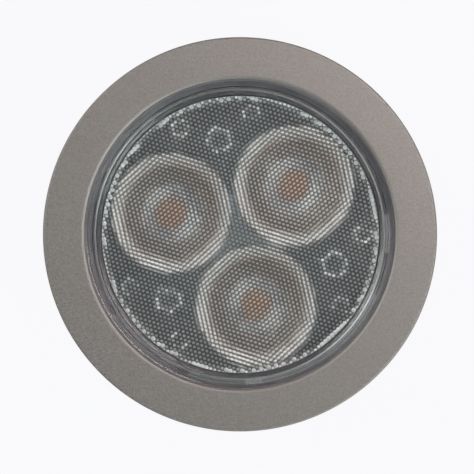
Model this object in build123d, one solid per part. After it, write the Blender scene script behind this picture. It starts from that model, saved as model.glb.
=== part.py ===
from build123d import *
import math
import os

# Recessed ground spotlight, millimetres, +Z out of the lit face.
# Origin: centre of the plane that the trim flange seats on (finished ground level).
# Azimuths are degrees counter-clockwise from +X, looking down on the face.

os.makedirs("parts", exist_ok=True)

# ---------------------------------------------------------------- driving dimensions
# trim ring
R_FLANGE = 30.0        # outside radius of the face
T_FLANGE = 3.0         # face height above the ground
R_OPEN = 23.8          # clear opening
C_OPEN = 0.5           # chamfer round the opening
R_EDGE = 0.4           # round on the outer top edge
Z_LIP = 1.0            # underside of the lip over the glass
R_THREAD = 25.2        # thread radius in the skirt
R_SKIRT = 26.2         # outside of the skirt
Z_SKIRT = -7.5         # bottom of the skirt

# glass
R_GLASS = 23.4         # upper part, inside the ring
R_GLASS_TOP = 22.05    # flat top face, inside the bevel
R_GLASS_STEP = 24.8    # foot under the ring's lip
Z_GLASS_TOP = 2.8
Z_BEVEL = 1.95         # where the bevel meets the upright edge
Z_STEP = 0.75          # top of the foot
Z_GLASS_BOT = -1.2

# lamp body
Z_RIM = -2.2           # top rim, under the glass seal
R_NECK = 25.1          # outside of the threaded neck
Z_NECK = -8.2          # bottom of the neck
R_BODY = 24.6          # outside of the finned part
R_BORE_UP = 22.2       # optic chamber
Z_SHELF = -16.5        # top of the bulkhead
Z_BULK = -21.0         # underside of the bulkhead
R_BORE_LOW = 21.4      # driver chamber
Z_BODY_BOT = -48.0
FIN_PITCH = 3.2
FIN_GAP = 1.5
FIN_DEPTH = 1.2
X_FLAT = 23.4          # flats that carry the leaf springs
W_FLAT = 9.0
AZ_SPRING = (90.0, 210.0, 330.0)

# optic
R_OPTIC = 21.0
Z_OPTIC_TOP = -2.4
Z_PLATE = -4.3         # underside of the optic's plate
Z_LED = -13.65         # plane of the three light sources
R_CELLS = 11.08        # pitch radius of the cells
AZ_CELLS = (42.5, 162.5, 282.5)
K_WALL = 1.024         # the walls stand this much wider than the shape that reflects square to the face
R_POST = 15.0
AZ_POST = (102.5, 222.5, 342.5)
R_SMALL = 18.7         # pitch radius of the screws and the thin legs
A_SMALL = 17.4
N_INDEX = 1.49
R_CAVITY = 2.6
R_CONE_FOOT = 3.0
H_LENS = 3.6
R_CONE_TOP = 9.0

# light-source board
R_BOARD = 20.4
Z_BOARD_TOP = -14.4
T_BOARD = 1.6
T_PAD = 0.5

# driver
R_DRIVER = 16.0
Z_DRIVER_TOP = -27.0
T_DRIVER = 1.6
AZ_STANDOFF = (90.0, 210.0, 330.0)
R_STANDOFF = 13.2

# rear cap and gland
Z_CAP_BOT = -53.0
H_SPIGOT = 3.2
R_CAP_SCREW = 18.6
AZ_CAP_SCREW = (30.0, 150.0, 270.0)
R_GLAND_THREAD = 6.0
R_CABLE = 2.8          # bore of the rubber insert

# mounting sleeve
R_SLEEVE_IN = 26.5
R_SLEEVE = 28.0
R_BARB = 28.0          # tips of the gripping barbs
R_SLEEVE_WALL = 27.4   # wall between the barbs
Z_SLEEVE_BOT = -80.0


# ---------------------------------------------------------------- helpers
def polar(r, az, z=0.0):
    a = math.radians(az)
    return (r * math.cos(a), r * math.sin(a), z)


def profile(points):
    """Closed section in the XZ plane turned about Z."""
    wire = Polyline(*[(x, 0, z) for x, z in points], close=True)
    return revolve(make_face(wire), axis=Axis.Z)


def rod(r, z0, z1, x=0.0, y=0.0):
    return Pos(x, y, (z0 + z1) / 2) * Cylinder(r, abs(z1 - z0))


def tube(r_out, r_in, z0, z1):
    return rod(r_out, z0, z1) - rod(r_in, z0 - 1, z1 + 1) if z0 < z1 else tube(r_out, r_in, z1, z0)


def block(dx, dy, z0, z1, x=0.0, y=0.0, az=0.0):
    return Pos(x, y, (z0 + z1) / 2) * Rot(0, 0, az) * Box(dx, dy, abs(z1 - z0))


def solids_of(items):
    out = []
    for it in items:
        out += list(it.solids())
    return Compound(children=out)


parts = {}

# ---------------------------------------------------------------- trim ring
ring = profile([
    (R_OPEN, Z_LIP), (R_OPEN, T_FLANGE - C_OPEN), (R_OPEN + C_OPEN, T_FLANGE),
    (R_FLANGE, T_FLANGE), (R_FLANGE, 0.25), (R_FLANGE - 0.25, 0.0), (R_SKIRT, 0.0),
    (R_SKIRT, Z_SKIRT + 0.4), (R_SKIRT - 0.4, Z_SKIRT), (R_THREAD + 0.3, Z_SKIRT),
    (R_THREAD, Z_SKIRT + 0.3), (R_THREAD, Z_LIP),
])
outer_edge = ring.edges().filter_by(GeomType.CIRCLE).sort_by(
    lambda e: abs(e.radius - R_FLANGE) + abs(e.arc_center.Z - T_FLANGE))[0]
ring = fillet(outer_edge, R_EDGE)
parts["trim_ring"] = ring

# ---------------------------------------------------------------- glass and its seals
# the bevel is slightly crowned, as polished edges are
bevel = ThreePointArc((R_GLASS_TOP, 0, Z_GLASS_TOP),
                      ((R_GLASS_TOP + R_GLASS) / 2 + 0.07, 0, (Z_GLASS_TOP + Z_BEVEL) / 2 + 0.11),
                      (R_GLASS, 0, Z_BEVEL))
outline = Polyline((R_GLASS, 0, Z_BEVEL), (R_GLASS, 0, Z_STEP), (R_GLASS_STEP - 0.2, 0, Z_STEP),
                   (R_GLASS_STEP, 0, Z_STEP - 0.2), (R_GLASS_STEP, 0, Z_GLASS_BOT + 0.2),
                   (R_GLASS_STEP - 0.2, 0, Z_GLASS_BOT), (0, 0, Z_GLASS_BOT), (0, 0, Z_GLASS_TOP),
                   (R_GLASS_TOP, 0, Z_GLASS_TOP))
glass = revolve(make_face(Wire([bevel.edge()] + list(outline.edges()))), axis=Axis.Z)
parts["glass_window"] = glass

parts["edge_gasket"] = profile([
    (R_GLASS + 0.03, Z_STEP), (R_GLASS_STEP - 0.2, Z_STEP), (R_GLASS_STEP - 0.2, Z_LIP),
    (R_OPEN - 0.03, Z_LIP), (R_OPEN - 0.03, Z_BEVEL - 0.1), (R_GLASS + 0.03, Z_BEVEL - 0.1),
])

parts["glass_seal"] = profile([
    (21.25, Z_RIM), (21.25, Z_GLASS_BOT - 0.15), (21.4, Z_GLASS_BOT),
    (R_GLASS_STEP - 0.25, Z_GLASS_BOT), (R_GLASS_STEP, Z_GLASS_BOT - 0.25),
    (R_GLASS_STEP, Z_RIM),
])

# ---------------------------------------------------------------- optic
def collimator_wall(r_cav, r_foot, h_cav, n, r_stop, steps=160):
    """Reflecting wall that sends light from the focus, refracted by the cavity wall, straight out."""
    pts = [(r_foot, 0.0)]
    a_end = math.atan(h_cav / r_cav)
    a_prev = 0.0
    for k in range(1, steps + 1):
        a = a_end * k / steps
        b = math.asin(math.sin(a) / n)
        bp = math.asin(math.sin(a_prev) / n)
        t = (bp + math.pi / 2) / 2
        px, pz = pts[-1]
        x0, z0 = r_cav, r_cav * math.tan(a)
        det = -math.cos(t) * math.sin(b) + math.cos(b) * math.sin(t)
        s = (-(x0 - px) * math.sin(b) + (z0 - pz) * math.cos(b)) / det
        pts.append((px + s * math.cos(t), pz + s * math.sin(t)))
        a_prev = a
        if pts[-1][0] > r_stop:
            break
    return pts


def lens_height(h0, r, n):
    """Height over the focus of the refracting lens that straightens the inner cone of light."""
    lo, hi = h0, h0 + 20
    for _ in range(60):
        m = (lo + hi) / 2
        if math.hypot(r, m) > n * m - (n - 1) * h0:
            lo = m
        else:
            hi = m
    return (lo + hi) / 2


h_cav = lens_height(H_LENS, R_CAVITY, N_INDEX)
wall = collimator_wall(R_CAVITY, R_CONE_FOOT, h_cav, N_INDEX, R_CONE_TOP)
wall = [(R_CONE_FOOT + (r - R_CONE_FOOT) * K_WALL, h) for r, h in wall]
keep = wall[::14] + [wall[-1]]
H_CONE = Z_PLATE - Z_LED
# stop the wall at the underside of the plate
keep = [p for p in keep if p[1] < H_CONE - 0.3]
r_last = keep[-1][0] + (H_CONE - keep[-1][1]) * 0.28
keep = keep + [(r_last, H_CONE)]
wall_curve = Spline(*[(x, 0, Z_LED + z) for x, z in keep])
lens_pts = [(R_CAVITY * k / 6.0, lens_height(H_LENS, R_CAVITY * k / 6.0, N_INDEX)) for k in range(7)]
lens_curve = Spline(*[(x, 0, Z_LED + z) for x, z in lens_pts])
cone_top = Z_PLATE + 0.4
cone_outline = [
    wall_curve.edge(),
    Line((keep[-1][0], 0, Z_PLATE), (keep[-1][0], 0, cone_top)).edge(),
    Line((keep[-1][0], 0, cone_top), (0, 0, cone_top)).edge(),
    Line((0, 0, cone_top), (0, 0, Z_LED + lens_pts[0][1])).edge(),
    lens_curve.edge(),
    Line((R_CAVITY, 0, Z_LED + lens_pts[-1][1]), (R_CAVITY, 0, Z_LED)).edge(),
    Line((R_CAVITY, 0, Z_LED), (R_CONE_FOOT, 0, Z_LED)).edge(),
]
cone = revolve(make_face(Wire(cone_outline)), axis=Axis.Z)
print("collimator: wall radius at the plate %.2f, cavity height %.2f" % (keep[-1][0], h_cav))

optic = rod(R_OPTIC, Z_PLATE, Z_OPTIC_TOP)
for az in AZ_CELLS:
    optic += Pos(*polar(R_CELLS, az)) * cone
for az in AZ_POST:
    x, y, _ = polar(R_POST, az)
    optic += rod(2.0, Z_BOARD_TOP, Z_PLATE + 0.2, x, y)
    optic += rod(0.8, Z_BOARD_TOP - 1.3, Z_BOARD_TOP + 0.2, x, y)
    x, y, _ = polar(R_SMALL, az - A_SMALL)
    optic += rod(1.2, Z_BOARD_TOP, Z_PLATE + 0.2, x, y)
parts["lens_array"] = optic

holder = tube(22.1, 21.15, Z_BOARD_TOP - 2.1, -2.5)
holder += tube(21.3, 20.6, -5.6, Z_PLATE)
parts["lens_holder"] = holder

# ---------------------------------------------------------------- light-source board
board = rod(R_BOARD, Z_BOARD_TOP - T_BOARD, Z_BOARD_TOP)
board -= rod(2.3, -20, -10)
for az in AZ_POST:
    x, y, _ = polar(R_POST, az)
    board -= rod(0.85, -20, -10, x, y)
    x, y, _ = polar(R_SMALL, az + A_SMALL)
    board -= rod(1.1, -20, -10, x, y)
parts["led_board"] = board

pad = rod(R_BOARD, Z_SHELF, Z_SHELF + T_PAD) - rod(2.6, -20, -10)
for az in AZ_POST:
    x, y, _ = polar(R_SMALL, az + A_SMALL)
    pad -= rod(1.3, -20, -10, x, y)
parts["thermal_pad"] = pad

packages, phosphors, domes = [], [], []
for az in AZ_CELLS:
    x, y, _ = polar(R_CELLS, az)
    body = block(3.45, 3.45, Z_BOARD_TOP, Z_LED, x, y, az)
    body -= block(1.7, 1.7, Z_LED - 0.2, Z_LED + 1, x, y, az)
    packages.append(body)
    phosphors.append(block(1.66, 1.66, Z_LED - 0.2, Z_LED, x, y, az))
    dome = Pos(x, y, Z_LED) * Sphere(1.35)
    dome = dome & block(4, 4, Z_LED, Z_LED + 3, x, y)
    domes.append(dome)
parts["led_packages"] = solids_of(packages)
parts["led_phosphors"] = solids_of(phosphors)
parts["led_domes"] = solids_of(domes)

screws = []
for az in AZ_POST:
    x, y, _ = polar(R_SMALL, az + A_SMALL)
    s = rod(1.75, Z_BOARD_TOP, Z_BOARD_TOP + 1.3, x, y)
    s = fillet(s.edges().filter_by(GeomType.CIRCLE).sort_by(Axis.Z)[-1], 0.5)
    s += rod(0.95, Z_BOARD_TOP - 5.0, Z_BOARD_TOP + 0.2, x, y)
    s -= block(1.9, 0.4, Z_BOARD_TOP + 0.6, Z_BOARD_TOP + 2, x, y, az)
    s -= block(0.4, 1.9, Z_BOARD_TOP + 0.6, Z_BOARD_TOP + 2, x, y, az)
    screws.append(s)
parts["board_screws"] = solids_of(screws)

# ---------------------------------------------------------------- lamp body
body = profile([
    (0, Z_BULK), (R_BORE_LOW, Z_BULK), (R_BORE_LOW, Z_BODY_BOT), (R_BODY, Z_BODY_BOT),
    (R_BODY, Z_NECK), (R_NECK, Z_NECK + 0.5), (R_NECK, Z_RIM - 0.3), (R_NECK - 0.3, Z_RIM),
    (R_BORE_UP, Z_RIM), (R_BORE_UP, Z_SHELF), (0, Z_SHELF),
])
# thread on the neck, shown as plain grooves at the thread's pitch
PITCH = 1.5
z = -3.1
while z > -5.2:
    body -= profile([(R_NECK + 0.1, z), (R_NECK - 0.45, z - 0.35), (R_NECK - 0.45, z - 0.5),
                     (R_NECK + 0.1, z - 0.85)])
    z -= PITCH
# groove for the neck's ring seal
body -= tube(R_NECK + 1, 24.0, -7.3, -6.1)
# cooling fins
z = Z_NECK - 3.4
while z > Z_BODY_BOT + 4.5:
    body -= tube(R_BODY + 1, R_BODY - FIN_DEPTH, z - FIN_GAP, z)
    z -= FIN_PITCH
# flats and pads for the leaf springs
for az in AZ_SPRING:
    cut = Pos(X_FLAT + 3, 0, 0) * Box(6, W_FLAT, 100)
    cut = cut & (Pos(0, 0, -29.3) * Box(100, 100, 33.4))
    body -= Rot(0, 0, az) * cut
    boss = Pos(20.6, 0, -41.5) * Box(5.6, 8.0, 8.0)
    boss = boss & rod(R_BORE_LOW + 0.5, -60, 0)
    body += Rot(0, 0, az) * boss
    hole = Pos(0, 0, -41.5) * Rot(0, 90, 0) * (Pos(0, 0, 22) * Cylinder(1.05, 7))
    body -= Rot(0, 0, az) * hole
# bosses for the rear cap's screws
for az in AZ_CAP_SCREW:
    x, y, _ = polar(R_CAP_SCREW, az)
    boss = rod(2.7, Z_BODY_BOT, Z_BODY_BOT + 11, x, y)
    xr, yr, _ = polar(R_CAP_SCREW + 1.7, az)
    boss += block(3.4, 5.4, Z_BODY_BOT, Z_BODY_BOT + 11, xr, yr, az)
    body += boss & rod(R_BORE_LOW + 0.5, -60, 0)
# seat for the rear cap's spigot
body -= rod(R_BORE_LOW + 0.4, Z_BODY_BOT - 1, Z_BODY_BOT + H_SPIGOT + 0.3)
for az in AZ_CAP_SCREW:
    x, y, _ = polar(R_CAP_SCREW, az)
    body -= rod(1.25, Z_BODY_BOT - 1, Z_BODY_BOT + 9.5, x, y)
# holes in the bulkhead: leads, board screws, standoff screws
body -= rod(2.6, -30, -10)
for az in AZ_POST:
    x, y, _ = polar(R_SMALL, az + A_SMALL)
    body -= rod(1.0, Z_BOARD_TOP - 5.2, -10, x, y)
for az in AZ_STANDOFF:
    x, y, _ = polar(R_STANDOFF, az)
    body -= rod(1.25, Z_BULK - 1, Z_BULK + 3.2, x, y)
parts["lamp_body"] = body

# ring seal in the neck's groove: flattened against the skirt
parts["neck_o_ring"] = profile([
    (24.02, -7.1), (24.3, -7.28), (24.85, -7.28), (25.17, -7.0), (25.17, -6.4),
    (24.85, -6.12), (24.3, -6.12), (24.02, -6.3),
])

# ---------------------------------------------------------------- driver
driver = rod(R_DRIVER, Z_DRIVER_TOP - T_DRIVER, Z_DRIVER_TOP)
for az in AZ_STANDOFF:
    x, y, _ = polar(R_STANDOFF, az)
    driver -= rod(1.3, -40, -20, x, y)
parts["driver_board"] = driver
Z_DB = Z_DRIVER_TOP - T_DRIVER

standoffs, dscrews = [], []
for az in AZ_STANDOFF:
    x, y, _ = polar(R_STANDOFF, az)
    hexa = Pos(x, y, Z_DRIVER_TOP) * extrude(RegularPolygon(2.3, 6), Z_BULK - Z_DRIVER_TOP)
    hexa -= rod(1.0, Z_DRIVER_TOP - 1, Z_DRIVER_TOP + 3.2, x, y)
    hexa += rod(1.2, Z_BULK - 0.2, Z_BULK + 3.0, x, y)
    standoffs.append(hexa)
    s = rod(2.2, Z_DB - 1.6, Z_DB, x, y)
    s = fillet(s.edges().filter_by(GeomType.CIRCLE).sort_by(Axis.Z)[0], 0.6)
    s += rod(0.95, Z_DB - 0.2, Z_DRIVER_TOP + 3.0, x, y)
    s -= block(2.4, 0.5, Z_DB - 2, Z_DB - 0.8, x, y, az)
    s -= block(0.5, 2.4, Z_DB - 2, Z_DB - 0.8, x, y, az)
    dscrews.append(s)
parts["driver_standoffs"] = solids_of(standoffs)
parts["driver_screws"] = solids_of(dscrews)

# drum inductor: flanged core with its winding in the waist
XI, YI = -8.2, 6.0
core = rod(4.9, Z_DB - 1.3, Z_DB, XI, YI) + rod(2.4, Z_DB - 6.4, Z_DB, XI, YI) \
    + rod(4.9, Z_DB - 6.6, Z_DB - 5.3, XI, YI)
parts["inductor_core"] = core
coil = rod(4.4, Z_DB - 5.25, Z_DB - 1.35, XI, YI) - rod(2.45, Z_DB - 8, Z_DB + 1, XI, YI)
rings = []
for k in range(6):
    zz = Z_DB - 1.35 - 0.65 * k
    coil -= Pos(XI, YI, 0) * profile([(4.5, zz + 0.08), (4.22, zz), (4.5, zz - 0.08)])
parts["inductor_winding"] = coil

XC, YC = 7.8, 6.2
can = rod(4.0, Z_DB - 10.2, Z_DB - 0.6, XC, YC)
can = fillet(can.edges().filter_by(GeomType.CIRCLE), 0.5)
can -= Pos(XC, YC, 0) * profile([(4.2, Z_DB - 2.0), (3.65, Z_DB - 2.3), (3.65, Z_DB - 2.5), (4.2, Z_DB - 2.8)])
can += block(8.2, 8.2, Z_DB - 0.8, Z_DB, XC, YC)
parts["smoothing_capacitor"] = can

XB, YB = -4.6, -2.6
rect = block(5.0, 4.0, Z_DB - 2.4, Z_DB - 0.1, XB, YB)
rect = chamfer(rect.edges().filter_by(Axis.Z), 0.3)
for sx in (-1, 1):
    for sy in (-1, 1):
        rect += block(1.1, 0.7, Z_DB - 1.1, Z_DB, XB + sx * 2.9, YB + sy * 1.25)
parts["rectifier"] = rect

XD, YD = 4.2, -2.4
chip = block(4.9, 3.9, Z_DB - 1.6, Z_DB - 0.1, XD, YD)
chip = chamfer(chip.edges().filter_by(Axis.Z), 0.2)
for k in range(4):
    for sy in (-1, 1):
        chip += block(0.42, 1.1, Z_DB - 0.75, Z_DB, XD - 1.905 + 1.27 * k, YD + sy * 2.4)
parts["driver_chip"] = chip

res = []
for x, y, a in ((-1.4, 2.4, 90), (0.6, 2.4, 90), (0.2, 6.4, 0), (0.2, 8.6, 0),
                (10.2, -1.2, 90), (12.2, -1.2, 90), (-12.6, -1.6, 90), (-10.4, -1.2, 90)):
    res.append(block(2.0, 1.25, Z_DB - 0.55, Z_DB, x, y, a))
parts["chip_resistors"] = solids_of(res)

XT, YT = 0.0, -10.2
term = block(10.0, 8.0, Z_DB - 9.5, Z_DB, XT, YT)
term = chamfer(term.edges().filter_by(Axis.X).sort_by(Axis.Z)[:2], 0.8)
tscrews = []
for sx in (-1, 1):
    xx = XT + sx * 2.5
    term -= rod(1.75, Z_DB - 10, Z_DB - 5.5, xx, YT - 1.2)            # screw wells
    term -= block(2.6, 4.5, Z_DB - 4.4, Z_DB - 1.4, xx, YT - 3.0)      # wire entries
    ts = rod(1.6, Z_DB - 8.3, Z_DB - 5.5, xx, YT - 1.2)
    ts -= block(2.6, 0.5, Z_DB - 9, Z_DB - 7.6, xx, YT - 1.2)
    tscrews.append(ts)
parts["supply_terminal"] = term
parts["terminal_screws"] = solids_of(tscrews)

# ---------------------------------------------------------------- internal leads, whole
D_LEAD = 1.2
joints_solder = []
for name, az in (("lead_positive", 342.4), ("lead_negative", 222.4)):
    route = [(1.15, Z_DRIVER_TOP), (1.15, -12.6), (3.7, -10.4), (6.5, -13.6)]
    pts = [Vector(*polar(r, az, z)) for r, z in route]
    radii = []
    for i in range(1, len(pts) - 1):
        a, b = pts[i] - pts[i - 1], pts[i + 1] - pts[i]
        turn = math.radians(a.get_angle(b))
        radii.append(0.45 * min(a.length, b.length) / math.tan(turn / 2))
    print(name, "arc radii", [round(v, 2) for v in radii])
    path = FilletPolyline(*pts, radius=radii)
    section = Plane(origin=pts[0], z_dir=(0, 0, 1)) * Circle(D_LEAD / 2)
    lead = sweep(section, path=path)
    print(name, "length %.1f volume %.3f of %.3f" % (
        path.length, lead.volume, math.pi * D_LEAD ** 2 / 4 * path.length))
    parts[name] = lead
    x, y, _ = polar(6.9, az)
    bead = Pos(x, y, Z_BOARD_TOP) * Sphere(1.25)
    bead = bead & block(4, 4, Z_BOARD_TOP, Z_BOARD_TOP + 3, x, y)
    joints_solder.append(bead - lead)
parts["solder_joints"] = solids_of(joints_solder)

# ---------------------------------------------------------------- rear cap
cap = rod(R_BODY, Z_CAP_BOT, Z_BODY_BOT)
cap = chamfer(cap.edges().filter_by(GeomType.CIRCLE).sort_by(Axis.Z)[0], 1.0)
cap += rod(R_BORE_LOW + 0.2, Z_BODY_BOT - 0.5, Z_BODY_BOT + H_SPIGOT)
cap -= tube(R_BORE_LOW + 1, R_BORE_LOW - 1.0, Z_BODY_BOT + 0.8, Z_BODY_BOT + 2.2)
cap -= rod(15.0, Z_BODY_BOT + 0.2, Z_BODY_BOT + 10)
for az in AZ_CAP_SCREW:
    x, y, _ = polar(R_CAP_SCREW, az)
    cap -= rod(1.5, -60, -40, x, y)
    cap -= Pos(x, y, Z_CAP_BOT) * profile([(0, -1), (3.0, -1), (3.0, 0.1), (1.4, 1.7), (0, 1.7)])
cap -= rod(R_GLAND_THREAD + 0.02, -60, -40)
parts["rear_cap"] = cap

parts["rear_cap_o_ring"] = profile([
    (R_BORE_LOW - 0.98, Z_BODY_BOT + 1.1), (R_BORE_LOW - 0.7, Z_BODY_BOT + 0.84),
    (R_BORE_LOW + 0.1, Z_BODY_BOT + 0.84), (R_BORE_LOW + 0.38, Z_BODY_BOT + 1.1),
    (R_BORE_LOW + 0.38, Z_BODY_BOT + 1.9), (R_BORE_LOW + 0.1, Z_BODY_BOT + 2.16),
    (R_BORE_LOW - 0.7, Z_BODY_BOT + 2.16), (R_BORE_LOW - 0.98, Z_BODY_BOT + 1.9),
])

cscrews = []
for az in AZ_CAP_SCREW:
    x, y, _ = polar(R_CAP_SCREW, az)
    s = Pos(x, y, Z_CAP_BOT) * profile([(0, 0.15), (2.8, 0.15), (2.8, 0.3), (1.25, 1.75), (1.25, 1.9), (0, 1.9)])
    s += rod(1.2, Z_CAP_BOT + 1.0, Z_BODY_BOT + 8.5, x, y)
    s -= Pos(x, y, Z_CAP_BOT - 1) * extrude(RegularPolygon(1.15, 6), 2.4)
    cscrews.append(s)
parts["rear_cap_screws"] = solids_of(cscrews)

# ---------------------------------------------------------------- cable gland
Z_GB = Z_CAP_BOT
gland = Pos(0, 0, Z_GB - 5.2) * extrude(RegularPolygon(8.6, 6), 4.0)        # hexagon
gland += rod(7.4, Z_GB - 1.3, Z_GB, 0, 0)                                   # seat flange
gland += rod(R_GLAND_THREAD - 0.03, Z_GB - 0.2, Z_GB + 7.0)                # thread into the cap
gland += rod(6.6, Z_GB - 12.2, Z_GB - 5.0)                                 # thread for the nut
gland -= rod(3.5, Z_GB - 20, Z_GB + 10)
gland -= rod(4.9, Z_GB - 12.5, Z_GB - 6.6)
gland -= tube(7.5, 6.2, Z_GB - 0.9, Z_GB + 0.01)                           # groove for its seal
parts["gland_body"] = gland

parts["gland_o_ring"] = profile([(6.22, Z_GB - 0.2), (6.5, Z_GB - 0.01), (7.1, Z_GB - 0.01),
                                 (7.38, Z_GB - 0.2), (7.38, Z_GB - 0.7), (7.1, Z_GB - 0.88),
                                 (6.5, Z_GB - 0.88), (6.22, Z_GB - 0.7)])

insert = profile([(R_CABLE, Z_GB - 14.0), (4.2, Z_GB - 14.0), (4.85, Z_GB - 12.8), (4.85, Z_GB - 6.7),
                  (R_CABLE, Z_GB - 6.7)])
parts["gland_insert"] = insert

nut = Pos(0, 0, Z_GB - 11.4) * extrude(RegularPolygon(8.6, 6), 5.9)
nut = nut & profile([(0, Z_GB - 12), (7.6, Z_GB - 12), (8.7, Z_GB - 10.6), (8.7, Z_GB - 6.2), (7.8, Z_GB - 5.2), (0, Z_GB - 5.2)])
nut += profile([(3.6, Z_GB - 16.2), (5.2, Z_GB - 16.2), (6.6, Z_GB - 15.2), (7.4, Z_GB - 13.4),
                (7.6, Z_GB - 11.3), (3.6, Z_GB - 11.3)])
nut -= rod(6.65, Z_GB - 12.4, Z_GB - 5.0)
nut -= profile([(0, Z_GB - 14.05), (4.25, Z_GB - 14.05), (4.9, Z_GB - 12.85), (4.9, Z_GB - 12.0), (0, Z_GB - 12.0)])
nut -= rod(3.5, Z_GB - 20, Z_GB - 5)
parts["gland_nut"] = nut

# ---------------------------------------------------------------- leaf springs
T_LEAF = 0.4
W_LEAF = 7.0
Z_PIVOT = -36.6
feet, sscrews = [], []
leaf_line = [(X_FLAT + T_LEAF, Z_PIVOT + 0.03), (26.1, -24.0), (26.1, -22.4), (25.55, -17.0)]
for i, az in enumerate(AZ_SPRING):
    foot = Pos(X_FLAT + T_LEAF / 2, 0, (Z_PIVOT - 45.4) / 2) * Box(T_LEAF, W_LEAF, 45.4 + Z_PIVOT)
    foot = fillet(foot.edges().filter_by(Axis.X).sort_by(Axis.Z)[:2], 1.2)
    foot -= Pos(X_FLAT, 0, -41.5) * Rot(0, 90, 0) * Cylinder(1.3, 4)
    feet.append(Rot(0, 0, az) * foot)
    inner = [(x - T_LEAF, zz) for x, zz in leaf_line]
    face = make_face(Polyline(*[(x, 0, zz) for x, zz in leaf_line + inner[::-1]], close=True))
    leaf = extrude(face, W_LEAF / 2, both=True)
    tip = Pos(25.4, 0, -18.4) * Rot(0, 90, 0) * (Cylinder(W_LEAF / 2, 4) + Pos(5, 0, 0) * Box(10, W_LEAF, 4))
    tip += Pos(25, 0, -30) * Box(6, W_LEAF, 23.2)
    leaf = leaf & tip
    parts["retaining_spring_%d" % (i + 1)] = Rot(0, 0, az) * leaf
    s = Pos(X_FLAT + T_LEAF, 0, -41.5) * Rot(0, 90, 0) * (Pos(0, 0, 0.6) * Cylinder(2.0, 1.2))
    s = fillet(s.edges().filter_by(GeomType.CIRCLE).sort_by(Axis.X)[-1], 0.5)
    s += Pos(X_FLAT + T_LEAF - 2.3, 0, -41.5) * Rot(0, 90, 0) * Cylinder(1.0, 4.8)
    s -= Pos(X_FLAT + T_LEAF + 1.2, 0, -41.5) * (Box(1.2, 2.2, 0.45) + Box(1.2, 0.45, 2.2))
    sscrews.append(Rot(0, 0, az) * s)
parts["spring_feet"] = solids_of(feet)
parts["spring_screws"] = solids_of(sscrews)

# ---------------------------------------------------------------- mounting sleeve
sleeve = profile([
    (R_SLEEVE_IN + 0.4, 0.0), (R_SLEEVE, 0.0), (R_SLEEVE, -14.0),
    (R_SLEEVE_WALL, -14.6), (R_SLEEVE_WALL, Z_SLEEVE_BOT + 4.6), (R_SLEEVE, Z_SLEEVE_BOT + 4.0),
    (R_SLEEVE, Z_SLEEVE_BOT + 0.5), (R_SLEEVE - 0.5, Z_SLEEVE_BOT), (21.0, Z_SLEEVE_BOT),
    (21.0, Z_SLEEVE_BOT + 2.2), (26.2, Z_SLEEVE_BOT + 2.2), (R_SLEEVE_IN, Z_SLEEVE_BOT + 3.0),
    (R_SLEEVE_IN, -0.4),
])
# gripping barbs, sloped so that the sleeve goes in and holds
for k in range(6):
    zz = -19.0 - 8.0 * k
    sleeve += profile([(27.2, zz), (R_BARB, zz), (R_BARB, zz - 0.5), (R_SLEEVE_WALL, zz - 2.6), (27.2, zz - 2.6)])
# four keys that stop it turning
for az in (45, 135, 225, 315):
    key = Pos(27.5, 0, -42.0) * Box(0.8, 2.0, 52.0)
    key = chamfer(key.edges().filter_by(Axis.Y).sort_by(Axis.X)[-2:], 0.4)
    sleeve += Rot(0, 0, az) * key
# two arched notches for the cable
for az in (0, 180):
    notch = Pos(25, 0, Z_SLEEVE_BOT + 3) * Box(14, 12, 14) + Pos(25, 0, Z_SLEEVE_BOT + 10) * Rot(0, 90, 0) * Cylinder(6, 14)
    sleeve -= Rot(0, 0, az) * notch
parts["mounting_sleeve"] = sleeve

# ---------------------------------------------------------------- write
for name, shape in parts.items():
    export_step(shape, "parts/%s.step" % name)
print(len(parts), "nodes written")
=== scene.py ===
import math

import bmesh
import bpy
import numpy as np
from mathutils import Matrix, Vector
from mathutils.geometry import delaunay_2d_cdt


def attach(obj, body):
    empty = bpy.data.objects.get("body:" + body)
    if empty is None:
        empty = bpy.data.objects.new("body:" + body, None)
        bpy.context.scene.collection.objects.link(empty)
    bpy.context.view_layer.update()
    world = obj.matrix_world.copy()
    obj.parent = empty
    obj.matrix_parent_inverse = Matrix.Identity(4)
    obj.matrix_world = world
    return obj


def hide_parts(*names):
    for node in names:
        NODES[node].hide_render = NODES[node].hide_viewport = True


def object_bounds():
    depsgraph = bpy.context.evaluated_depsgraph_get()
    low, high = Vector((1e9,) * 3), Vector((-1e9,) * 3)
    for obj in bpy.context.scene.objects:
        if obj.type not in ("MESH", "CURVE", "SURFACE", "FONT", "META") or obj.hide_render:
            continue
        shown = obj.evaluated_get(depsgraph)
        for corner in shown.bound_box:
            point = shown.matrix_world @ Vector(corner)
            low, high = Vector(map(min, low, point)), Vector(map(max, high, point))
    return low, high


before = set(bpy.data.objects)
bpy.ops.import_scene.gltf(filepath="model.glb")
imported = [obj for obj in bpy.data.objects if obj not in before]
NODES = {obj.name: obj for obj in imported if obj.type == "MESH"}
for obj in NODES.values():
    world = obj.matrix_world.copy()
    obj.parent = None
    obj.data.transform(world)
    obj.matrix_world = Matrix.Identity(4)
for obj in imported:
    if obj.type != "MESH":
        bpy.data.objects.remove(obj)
CAD_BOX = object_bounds()
MM = 0.001

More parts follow.
